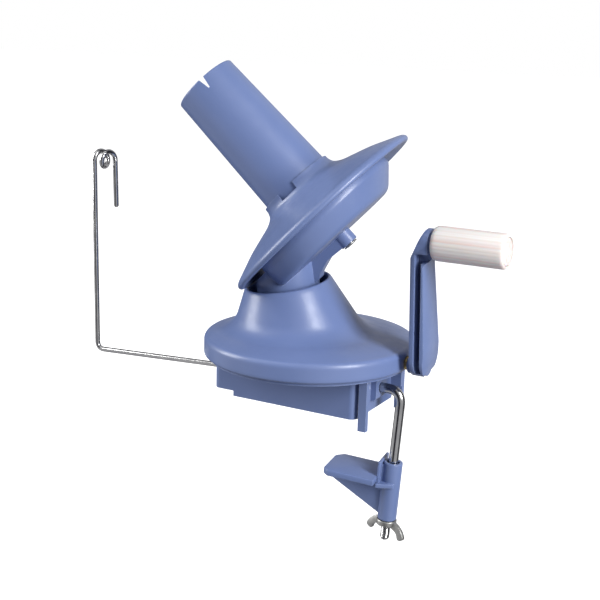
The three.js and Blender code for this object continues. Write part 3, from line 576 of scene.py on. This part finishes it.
def top_cover():
    """The round plate and its neck as one wall, made of lines round the head's axis."""
    outer = [cover_generator(TURN * i / COVER_SEGMENTS) for i in range(COVER_SEGMENTS)]
    rows = []
    for i, line in enumerate(outer):
        before, after = outer[i - 1], outer[(i + 1) % COVER_SEGMENTS]
        inner = []
        for j, point in enumerate(line):
            along = line[min(j + 1, len(line) - 1)] - line[max(j - 1, 0)]
            inward = along.cross(after[j] - before[j]).normalized()
            if inward.dot(point - HEAD.translation) > 0:
                inward = -inward
            inner.append(point + inward * WALL)
        lip = rounded_end(inner[0], line[0], line[0] - line[1])
        foot = rounded_end(line[-1], inner[-1], line[-1] - line[-2])
        rows.append([*lip, *line, *foot, *reversed(inner)])
    cover = skin("cover_shell", rows)
    combine(cover, "DIFFERENCE", lathe("shaft_hole", rod_line(SHAFT_HOLE, 40, 70), SHAFT, 48))
    return dress(sharpen(cover, 50), "blue_plastic", "base", "top_cover")


# ---------------------------------------------------------------- head

BOWL_RADIUS = 44
BOWL_FLOOR = -14.5
BOWL_SHOULDER = -3
BOWL_SHIFT = -5
BOWL_ROOM = 41.6
TURRET_RADIUS = 17.5
TURRET_BOTTOM = 27.6
BOSS_RADIUS = 5
HUB_RADIUS = 8
HUB_TOP = 48.2
HUB_ROOM = 10.6
POST_BORE = 2.8
PINION_BORE = 5.3
PINION_TOP = 40.3
SPOOL_BORE = 3.3
BEYOND = 90


def bowl_shift(z):
    """The bowl's floor sits nearer the neck than its mouth does."""
    return BOWL_SHIFT * max(0.0, min(1.0, (BOWL_SHOULDER - z) / (BOWL_SHOULDER - BOWL_FLOOR)))


def head_carrier():
    """The tilted bowl on its turret, hollowed out, with the bores that its shafts turn in."""
    bowl_line = filleted([
        (0, BOWL_FLOOR, 0), (38.4, BOWL_FLOOR + 0.5, 5), (BOWL_RADIUS, BOWL_SHOULDER, 7),
        (BOWL_RADIUS, 2, 0.5), (0, 2, 0),
    ], 8)
    head = lathe("head_shell", bowl_line, SPOOL, 144, bowl_shift)
    turret = lathe("turret", rod_line(TURRET_RADIUS, TURRET_BOTTOM, 70, 0.6), HEAD, 112)
    roof = prism("roof", box_line(-BEYOND, BEYOND, -BEYOND, BEYOND), -2.2, BEYOND, SPOOL)
    combine(turret, "DIFFERENCE", roof)
    web_line = filleted([
        (-45, -24, 0), (-25.5, -24.2, 1), (-23.5, -22.5, 3), (-14.7, -19.8, 5),
        (-3.6, -20.4, 1), (1, -20.4, 1), (1, -10, 0), (-45, -10, 0),
    ], 5)
    web = prism("web", web_line, -4, 4, SPOOL, "Y")
    boss = lathe("boss", rod_line(BOSS_RADIUS, -21, -9, 0.5), SPOOL, 64)
    combine(head, "UNION", turret, web, boss)
    room_line = filleted([
        (0, BOWL_FLOOR + WALL, 0), (36.6, BOWL_FLOOR + WALL, 1), (BOWL_ROOM, BOWL_SHOULDER, 5),
        (BOWL_ROOM, 6, 0), (0, 6, 0),
    ], 6)
    room = lathe("room", room_line, SPOOL, 96, bowl_shift)
    combine(room, "DIFFERENCE", lathe("hub", rod_line(HUB_RADIUS, 27, HUB_TOP, 0.3), HEAD, 48))
    inner_boss = lathe("inner_boss", rod_line(BOSS_RADIUS, -16, -11.2, 0.3), SPOOL, 48)
    combine(room, "DIFFERENCE", inner_boss)
    bores = [
        lathe("post_bore", rod_line(POST_BORE, 0, BEYOND), HEAD, 48),
        lathe("pinion_bore", rod_line(PINION_BORE, 0, PINION_TOP), HEAD, 48),
        lathe("over_hub", rod_line(HUB_ROOM, HUB_TOP, BEYOND), HEAD, 64),
        lathe("axle_bore", rod_line(SPOOL_BORE, -40, 0), SPOOL, 48),
    ]
    combine(head, "DIFFERENCE", room, *bores)
    return dress(sharpen(head, 34), "blue_plastic", "head", "head_carrier")


# ---------------------------------------------------------------- spool

COLLAR_INSIDE = 20.5
COLLAR_TOP = 22.3
GAP_TURN = -84
GAP_HALF_WIDTH = 5.3
TUBE_INSIDE = 17.8
TUBE_BOTTOM = 15.3
TUBE_TOP = 94.2
NOTCH_TURN = -157
NOTCH_BOTTOM = TUBE_TOP - 6.6


def spool_flange():
    """The flared disc and its hub, with a collar that stands round the tube and has one gap."""
    upper = flowing([
        (21.5, 21.9), (21.8, 19.6), (23.3, 16.9), (27.4, 14.4), (34.1, 12.2), (43.4, 9.2),
        (51.9, 5.7), (57.2, 3.5), (59.2, 2.3), (60.1, 0.8), (59.6, -0.6), (58.3, -1.1), (57.0, -0.6),
    ])
    lower = flowing([(50.8, 2.9), (42.5, 6.4), (33.4, 9.4), (26.6, 11.2), (22, 11.4)], 4)
    hub = [(6, 11.4), (6, -9.4), (SPOOL_BORE, -9.4), (SPOOL_BORE, 27), (6, 27), (6, 15)]
    collar = [(COLLAR_INSIDE, 15), (COLLAR_INSIDE, COLLAR_TOP - 0.2), (COLLAR_INSIDE + 0.2, COLLAR_TOP)]
    line = [*upper, *lower, *hub, *collar, (21.45, COLLAR_TOP)]
    flange = lathe("spool_flange_shell", line, SPOOL, 192)
    gap_line = box_line(17.5, 30, -GAP_HALF_WIDTH, GAP_HALF_WIDTH)
    gap = prism("gap", gap_line, COLLAR_TOP - 4, 40, spun(SPOOL, GAP_TURN))
    combine(flange, "DIFFERENCE", gap)
    return dress(sharpen(flange, 36), "blue_plastic", "spool", "spool_flange")


def spool_tube():
    """The tapered tube that the yarn is wound on, with a notch in its lip for the yarn's end."""
    line = filleted([
        (TUBE_INSIDE, TUBE_BOTTOM, 0.3), (20, TUBE_BOTTOM, 0.3), (20, COLLAR_TOP, 2),
        (17.9, TUBE_TOP, 1.9), (15.7, TUBE_TOP, 0.5),
    ], 8)
    tube = lathe("spool_tube_shell", line, SPOOL, 160)
    notch_line = filleted([
        (-2.1, TUBE_TOP + 2, 0), (-1.2, TUBE_TOP - 0.8, 0.8), (-0.25, NOTCH_BOTTOM, 0.3),
        (0.35, NOTCH_BOTTOM, 0.3), (1.5, TUBE_TOP - 0.5, 0.8), (2.4, TUBE_TOP + 2, 0),
    ], 4)
    notch = prism("notch", notch_line, 5, 40, spun(SPOOL, NOTCH_TURN), "Y")
    combine(tube, "DIFFERENCE", notch)
    return dress(sharpen(tube, 36), "blue_plastic", "spool", "spool_tube")


# ---------------------------------------------------------------- crank

ARM_INNER = 64.3
ARM_OUTER = 72.4
ARM_BOTTOM = -5.2
ARM_TOP_RADIUS = 7.2
ARM_BOTTOM_RADIUS = 10.8
SLOT_LEFT = ARM_INNER + 2.4
SLOT_TOP = CRANK_RADIUS - 4.5
SLOT_WEB = 1.2
HUB_LEFT = 60.4
ARM_BORE = 2.8
GRIP_START = 74.6
GRIP_END = 113
GRIP_RADIUS = 9.1
GRIP_SIDES = 180
FLUTE_WAVES = 15
FLUTE_HEIGHT = 0.1
CAP_RADIUS = 7.3
CAP_DEPTH = 9


def half_circle(radius, height, start):
    """Half a circle about a height, from a starting angle."""
    angles = [start + math.pi * k / 24 for k in range(25)]
    return [Vector((radius * math.cos(a), height + radius * math.sin(a))) for a in angles]


def crank_arm():
    """A bar whose outer face steps in. A slot from each side leaves a web down its middle."""
    top = CRANK_RADIUS + ARM_TOP_RADIUS
    side = filleted([
        (ARM_INNER, ARM_BOTTOM + 2, 1.2), (ARM_INNER, top - 14, 4), (ARM_OUTER - 1.8, top, 0.8),
        (ARM_OUTER + 0.8, top, 0.8), (ARM_OUTER + 0.8, top - 16, 2), (ARM_OUTER - 1.2, top - 18, 2),
        (ARM_OUTER, ARM_BOTTOM + 16, 3), (ARM_OUTER - 1, ARM_BOTTOM + 3, 3),
        (ARM_OUTER - 3, ARM_BOTTOM, 1.5), (ARM_INNER + 1.5, ARM_BOTTOM, 1),
    ], 5)
    arm = prism("crank_arm_shell", side, -16, 16, CRANK, "Y")
    planform = half_circle(ARM_TOP_RADIUS, CRANK_RADIUS, 0)
    planform += half_circle(ARM_BOTTOM_RADIUS, ARM_BOTTOM + ARM_BOTTOM_RADIUS, math.pi)
    combine(arm, "INTERSECT", prism("planform", planform, 50, 90, CRANK, "X"))
    slot_lines = (
        box_line(SLOT_LEFT, ARM_OUTER - 2.2, ARM_BOTTOM + 3.7, SLOT_TOP, 1),
        box_line(SLOT_LEFT, ARM_OUTER + 5, CRANK_RADIUS - 9.5, SLOT_TOP, 1),
    )
    for slot_line in slot_lines:
        combine(arm, "DIFFERENCE", *[
            prism("slot", slot_line, y0, y1, CRANK, "Y") for y0, y1 in ((-20, -SLOT_WEB), (SLOT_WEB, 20))
        ])
    combine(
        arm, "UNION",
        lathe("boss", rod_line(5, HUB_LEFT, ARM_OUTER - 1.4, 0.4), SHAFT, 48),
        lathe("axle_boss", rod_line(5.5, ARM_OUTER - 2.5, ARM_OUTER + 1.8), GRIP, 48),
    )
    combine(
        arm, "DIFFERENCE",
        lathe("shaft_bore", rod_line(ARM_BORE, 40, 70.5), SHAFT, 48),
        lathe("axle_bore", rod_line(ARM_BORE, 50, 90), GRIP, 48),
        lathe("head_room", rod_line(4.3, 50, 69.9), GRIP, 48),
    )
    soften(arm, 0.7)
    return dress(arm, "blue_plastic", "crank", "crank_arm")


def grip():
    """A tube with shallow flutes along it. Its ends are round, so the flutes fade there."""
    length = [GRIP_START + FIT, GRIP_START + 0.5, GRIP_START + 1.4, GRIP_START + 3]
    length += [GRIP_START + 3 + (GRIP_END - GRIP_START - 6) * k / 10 for k in range(1, 11)]
    length += [GRIP_END - 1.2, GRIP_END - 0.4, GRIP_END]
    swell = {0: -1.3, 1: -0.6, 2: -0.15, len(length) - 2: -0.2, len(length) - 1: -0.7}
    rows = []
    for i in range(GRIP_SIDES):
        around = TURN * i / GRIP_SIDES
        flute = FLUTE_HEIGHT * abs(math.sin(around * FLUTE_WAVES)) ** 0.7
        row = []
        for k, z in enumerate(length):
            radius = GRIP_RADIUS - 0.16 + swell.get(k, 0) + (flute if 2 <= k < len(length) - 2 else 0)
            row.append(turned_point(radius, around, z))
        for radius, z in (
            (CAP_RADIUS, GRIP_END), (CAP_RADIUS, GRIP_END - CAP_DEPTH),
            (3, GRIP_END - CAP_DEPTH), (3, GRIP_START + FIT),
        ):
            row.append(turned_point(radius, around, z))
        rows.append([GRIP @ point for point in row])
    return dress(sharpen(skin("grip_shell", rows)), "ivory_plastic", "hand_grip", "grip")


def grip_end_cap():
    """A shallow cup pressed into the grip's outer end."""
    line = filleted([
        (0, GRIP_END + 0.25, 0), (6.2, GRIP_END + 0.1, 1), (7, GRIP_END - 0.2, 0.4), (7, GRIP_END - 4, 0.2),
        (5.6, GRIP_END - 4, 0.2), (5.6, GRIP_END - 1.8, 0.3), (0, GRIP_END - 1.8, 0),
    ], 4)
    cap = lathe("grip_cap_disc", line, GRIP, 96)
    return dress(sharpen(cap), "ivory_plastic", "hand_grip", "grip_end_cap")


# ---------------------------------------------------------------- clamp

ROD_RADIUS = 2.65
ROD_BEND = 8
ROD_START = 34
ROD_DROP = 87
THREAD_START = 57
THREAD_PITCH = 0.8
THREAD_DEPTH = 0.3
RINGS_PER_TURN = 7
THREAD_SIDES = 36


def bent(points, reach, steps=14):
    """A path through the points with each inner corner rounded."""
    path = [points[0]]
    for before, corner, after in zip(points, points[1:], points[2:]):
        start = corner + (before - corner).normalized() * reach
        end = corner + (after - corner).normalized() * reach
        path += [curve_point(start, corner, end, k / steps) for k in range(steps + 1)]
    path.append(points[-1])
    return path


def clamp_rod():
    """A bar bent down out of the socket, with a rolled thread on its lower end."""
    corner = CLAMP.translation
    start = Vector((ROD_START, 0, corner.z))
    neck = CLAMP @ Vector((0, 0, -THREAD_START + 1))
    path = bent([start, corner, neck], ROD_BEND)
    path = [start + Vector((-0.5, 0, 0)), *path]
    radii = [ROD_RADIUS - 0.6] + [ROD_RADIUS] * (len(path) - 1)
    rod = sweep("clamp_rod_bar", path, radii, 40)
    turns = (ROD_DROP - THREAD_START) / THREAD_PITCH
    rows = []
    steps = int(turns * RINGS_PER_TURN)
    for i in range(steps + 1):
        z = -THREAD_START + 2 - (ROD_DROP - THREAD_START + 2) * i / steps
        taper = 0.7 * max(0.0, 1 - (ROD_DROP + z) / 1.2)
        ring = []
        for k in range(THREAD_SIDES):
            wave = abs(((-z / THREAD_PITCH + k / THREAD_SIDES) % 1) * 2 - 1)
            cut = THREAD_DEPTH * wave * min(1.0, max(0.0, -z - THREAD_START))
            radius = ROD_RADIUS - 0.02 - cut - taper
            ring.append(CLAMP @ turned_point(radius, TURN * k / THREAD_SIDES, z))
        rows.append(ring)
    combine(rod, "UNION", skin("thread", rows, around=False))
    return dress(sharpen(rod, 60), "polished_steel", "clamp", "clamp_rod")


JAW_TOP = 41
JAW_BOTTOM = 74.5
JAW_RADIUS = 5.2
JAW_BORE = 3.6
JAW_PLATE_TOP = -48.6
JAW_PLATE_BOTTOM = -52.2
WEB_DEPTH = 5.7
FENCE_TOP = -40
NUT_BORE = 2.95


def jaw():
    """The barrel that slides on the rod, with the plate that grips a table's underside."""
    barrel = lathe("jaw_shell", rod_line(JAW_RADIUS, -JAW_BOTTOM, -JAW_TOP, 0.5), JAW, 96)
    plate_line = filleted([
        (-6.5, -13.5, 0.8), (-6.5, 13.5, 0.8), (-32, 13.5, 3),
        (-36, 9, 3), (-36, -10.5, 2.5), (-33, -13.5, 2.5),
    ], 6)
    plate = soften(prism("plate", plate_line, JAW_PLATE_BOTTOM, JAW_PLATE_TOP, JAW), 0.7)
    web_top = JAW_PLATE_BOTTOM + 0.5
    web_line = [(-33.5, web_top), (-33.5, web_top - WEB_DEPTH), (-4, -JAW_BOTTOM + 2), (0, web_top)]
    web = soften(prism("web", web_line, -1.7, 1.7, JAW, "Y"), 0.35, 2)
    fence = prism("fence", box_line(-6.7, -5.1, -7, 9, 0.6), -52.5, FENCE_TOP, JAW)
    soften(fence, 0.4, 2)
    shelf_line = filleted([(-6.5, -9.5, 0.6), (3, -5.6, 1.5), (3, 5.6, 1.5), (-6.5, 9.5, 0.6)])
    shelf = soften(prism("shelf", shelf_line, -54.4, -52, JAW), 0.35, 2)
    neck = prism("neck", box_line(-6.2, -3, -3.4, 3.4, 0.4), -57.5, -42.5, JAW)
    combine(barrel, "UNION", plate, web, fence, shelf, neck)
    bore = lathe("bore", rod_line(JAW_BORE, -100, -31), JAW, 64)
    combine(barrel, "DIFFERENCE", bore)
    return dress(sharpen(barrel, 34), "blue_plastic", "clamp_jaw", "jaw")


def wing_nut():
    """A round body with two flat ears that stand out and down."""
    top = -JAW_BOTTOM - FIT
    upper = flowing([
        (3.6, top - 0.2), (6.8, top - 0.7), (9.7, top - 2.3), (12, top - 5), (13, top - 7.2),
    ], 4)
    lower = flowing([
        (12.8, top - 8), (11.4, top - 9), (9.3, top - 9.1), (7.6, top - 5.8), (3.6, top - 4),
    ], 4)
    nut = lathe("wing_nut_body", rod_line(5.6, top - 3.2, top, 0.6), NUT, 64)
    for degrees in (0, 180):
        wing = prism("wing", [*upper, *lower], -1.1, 1.1, spun(NUT, degrees), "Y")
        soften(wing, 0.35, 2, 50)
        combine(nut, "UNION", wing)
    combine(nut, "DIFFERENCE", lathe("nut_bore", rod_line(NUT_BORE, -120, 0), NUT, 48))
    return dress(sharpen(nut, 36), "zinc_steel", "clamp_nut", "wing_nut")


# ---------------------------------------------------------------- yarn guide

WIRE_RADIUS = 1.5
WIRE_BEND = 5
GUIDE_START = -38
GUIDE_MOUTH = -59
GUIDE_Z = 7.5
GUIDE_X = -149
GUIDE_TOP = 120
COIL_RADIUS = 4.5
COIL_PITCH = 5.6
COIL_TURNS = 1.5
COIL_STEPS = 60


def yarn_guide():
    """A wire that leaves the case, stands up and ends in an open eye with a hanging tail."""
    start = Vector((GUIDE_START, 0, GUIDE_Z))
    mouth = Vector((GUIDE_MOUTH, 0, GUIDE_Z))
    corner = Vector((GUIDE_X + 0.6, 0, GUIDE_Z - 4.6))
    shoulder = Vector((GUIDE_X, 0, GUIDE_TOP))
    path = bent([start, mouth, corner, shoulder], WIRE_BEND)
    for k in range(1, COIL_STEPS + 1):
        share = COIL_TURNS * k / COIL_STEPS
        around = math.pi - share * TURN
        path.append(shoulder + Vector((
            share * COIL_PITCH, COIL_RADIUS + COIL_RADIUS * math.cos(around), COIL_RADIUS * math.sin(around),
        )))
    path.append(path[-1] + Vector((0.1, 0, -3)))
    path.append(path[-1] + Vector((0.5, 0, -25.2)))
    path.append(path[-1] + Vector((0, 0, -0.8)))
    radii = [WIRE_RADIUS] * (len(path) - 1) + [WIRE_RADIUS - 0.6]
    wire = sweep("yarn_guide_wire", path, radii, 32)
    return dress(sharpen(wire, 60), "polished_steel", "guide", "yarn_guide")


# ---------------------------------------------------------------- carried-over nodes


def polish_node(node, slot):
    """A CAD node keeps its mesh. Modifiers merge its flat facets and round its edges."""
    mesh = node.data
    mesh.shade_smooth()
    if mesh.has_custom_normals:
        mesh.attributes.remove(mesh.attributes["custom_normal"])
    mesh.materials.clear()
    mesh.materials.append(MATERIALS[slot])
    weld = node.modifiers.new("weld", "WELD")
    weld.merge_threshold = WELD_GAP
    merge = node.modifiers.new("merge flats", "DECIMATE")
    merge.decimate_type = "DISSOLVE"
    merge.angle_limit = math.radians(1)
    small = min(b - a for a, b in zip(*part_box(node.name))) / MM
    add_bevel(node, min(0.5, small * 0.08), 3, BEVEL_ANGLE)


def carry_over():
    """Polishes every CAD node that no piece stands for."""
    replaced = {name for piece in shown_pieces() for name in piece.get("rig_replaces", [])}
    for row in frame["record"]["subparts"]:
        if row["node"] not in replaced:
            polish_node(NODES[row["node"]], row["material_slot"])


# ---------------------------------------------------------------- stage

FLOOR_Z = CAD_BOX[0].z - 0.002
FLOOR_HALF = 6.0
MIDDLE = (0, 0, 0.07)
BAND_COUNT = 3.0


def floor():
    """A plain white sheet. Its glow keeps it white and doesn't reach the winder."""
    mesh = bpy.data.meshes.new("floor")
    paper, _, shader = blank_material("floor_paper")
    shader.inputs["Base Color"].default_value = (0.6, 0.6, 0.6, 1)
    shader.inputs["Roughness"].default_value = 0.9
    shader.inputs["Emission Color"].default_value = (1, 1, 1, 1)
    shader.inputs["Emission Strength"].default_value = 0.8
    corners = ((-1, -1), (1, -1), (1, 1), (-1, 1))
    mesh.from_pydata([(x * FLOOR_HALF, y * FLOOR_HALF, FLOOR_Z) for x, y in corners], [], [(0, 1, 2, 3)])
    mesh.materials.append(paper)
    piece = add_object("floor", mesh)
    piece.visible_diffuse = False
    piece.visible_glossy = False


def aim(light, direction):
    """Turns a light to shine along a direction."""
    light.rotation_euler = direction.to_track_quat("-Z", "Y").to_euler()


def area_light(name, place, target, size, power):
    """A rectangular light at a place in metres, turned toward a target."""
    data = bpy.data.lights.new(name, "AREA")
    data.shape = "RECTANGLE"
    data.size, data.size_y = size
    data.energy = power
    light = add_object(name, data)
    light.location = place
    aim(light, Vector(target) - Vector(place))


def sun(name, direction, strength, angle):
    """A distant light. Its angle in degrees sets how soft its shadows are."""
    data = bpy.data.lights.new(name, "SUN")
    data.energy = strength
    data.angle = math.radians(angle)
    aim(add_object(name, data), Vector(direction))


def studio_world():
    """Grey all round with three darker upright bands for metal to reflect. A camera sees it white."""
    world = bpy.data.worlds.new("studio")
    world.use_nodes = True
    tree = world.node_tree
    coordinates = add_node(tree, "ShaderNodeTexCoord")
    parts = add_node(tree, "ShaderNodeSeparateXYZ")
    tree.links.new(coordinates.outputs["Generated"], parts.inputs["Vector"])
    bearing = add_node(tree, "ShaderNodeMath", operation="ARCTAN2")
    tree.links.new(parts.outputs["Y"], bearing.inputs[0])
    tree.links.new(parts.outputs["X"], bearing.inputs[1])
    bands = add_node(tree, "ShaderNodeMath", operation="SINE")
    around = add_node(tree, "ShaderNodeMath", operation="MULTIPLY")
    around.inputs[1].default_value = BAND_COUNT
    tree.links.new(bearing.outputs["Value"], around.inputs[0])
    tree.links.new(around.outputs["Value"], bands.inputs[0])
    light = ramp(tree, bands.outputs["Value"], (0.0, (0.54, 0.54, 0.56)), (0.75, (0.03, 0.03, 0.04)))
    path = add_node(tree, "ShaderNodeLightPath")
    white = add_node(tree, "ShaderNodeRGB")
    white.outputs[0].default_value = (1, 1, 1, 1)
    shown = blend_colours(tree, path.outputs["Is Camera Ray"], light, white.outputs[0])
    tree.links.new(shown, tree.nodes["Background"].inputs["Color"])
    bpy.context.scene.world = world


def lights():
    """Two softboxes, one at each side, a faint light from overhead, and the studio round them."""
    area_light("left_softbox", (-1.05, -0.45, 0.42), MIDDLE, (0.45, 0.9), 13.0)
    area_light("right_softbox", (1.0, -0.34, 0.5), MIDDLE, (0.34, 0.8), 17.0)
    sun("overhead", (0.25, 0.45, -1), 0.4, 50)
    studio_world()
    bpy.context.scene.view_settings.view_transform = "Standard"


CAMERA_PLACE = Vector((0.2913, -0.5482, 0.2046))
CAMERA_YAW = math.radians(28.56)
CAMERA_PITCH = math.radians(13.6)
CAMERA_ROLL = math.radians(1.62)
CAMERA_LENS = 69.8


def camera():
    """The camera that the object is seen from, given by its place and its three angles."""
    data = bpy.data.cameras.new("camera")
    data.sensor_width = 36
    data.lens = CAMERA_LENS
    data.clip_start = 0.01
    view = Vector((
        -math.sin(CAMERA_YAW) * math.cos(CAMERA_PITCH),
        math.cos(CAMERA_YAW) * math.cos(CAMERA_PITCH),
        -math.sin(CAMERA_PITCH),
    ))
    right = view.cross(Vector((0, 0, 1))).normalized()
    up = right.cross(view)
    rolled_right = right * math.cos(CAMERA_ROLL) + up * math.sin(CAMERA_ROLL)
    rolled_up = up * math.cos(CAMERA_ROLL) - right * math.sin(CAMERA_ROLL)
    turned = Matrix((rolled_right, rolled_up, -view)).transposed().to_4x4()
    turned.translation = CAMERA_PLACE
    seen = add_object("camera", data)
    seen.matrix_world = turned
    bpy.context.scene.camera = seen


# ---------------------------------------------------------------- assembly

camera()
for make in (top_cover, head_carrier, spool_flange, spool_tube, crank_arm, grip, grip_end_cap,
             clamp_rod, jaw, wing_nut, yarn_guide):
    make()
carry_over()
floor()
lights()
